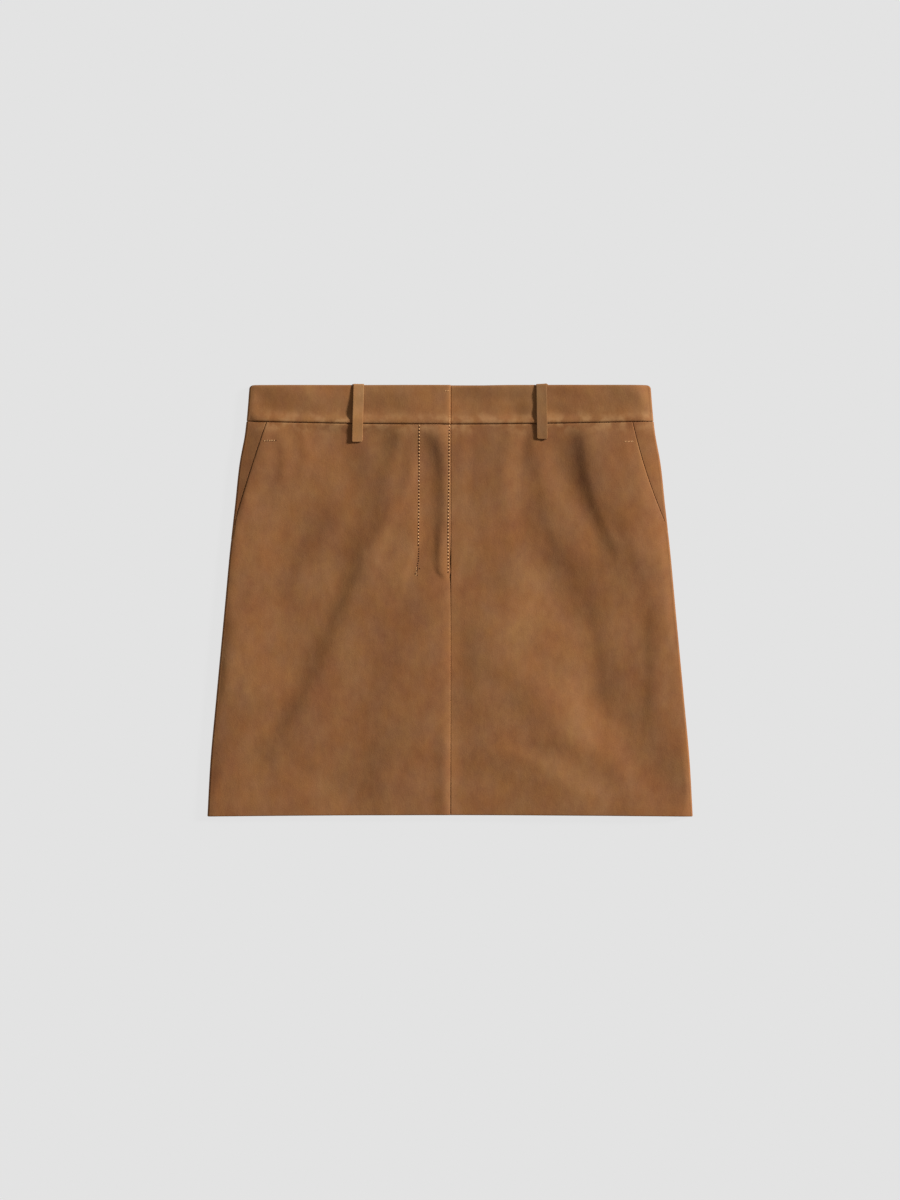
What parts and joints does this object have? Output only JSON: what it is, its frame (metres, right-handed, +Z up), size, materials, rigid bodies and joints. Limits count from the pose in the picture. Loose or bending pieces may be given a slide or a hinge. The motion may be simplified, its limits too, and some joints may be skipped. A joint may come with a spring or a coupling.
{
  "type": "suede mini skirt",
  "caption": "Suede mini skirt laid flat, with a fly front, slanted hip pockets and a waistband with belt loops.",
  "frame": {"origin": "centre of the bounding box, on the surface that the skirt lies on", "axes": "+X towards the wearer's left, +Y towards the waist, +Z up, away from the surface that the skirt lies on"},
  "size_m": [0.4502, 0.4012, 0.0099],
  "materials": {
    "suede": "napped suede",
    "thread": "matte twisted thread",
    "zip": "woven tape"
  },
  "bodies": {
    "root": {"back_panel": "suede", "front_panel_right": "suede", "front_panel_left": "suede", "pocket_facing_right": "suede", "pocket_facing_left": "suede", "waistband_right": "suede", "waistband_left": "suede", "waistband_back": "suede", "fly_shield": "suede", "fly_zip": "zip", "belt_loop_front_right": "suede", "belt_loop_front_left": "suede", "belt_loop_back_right": "suede", "belt_loop_back_left": "suede"}
  },
  "joints": []
}
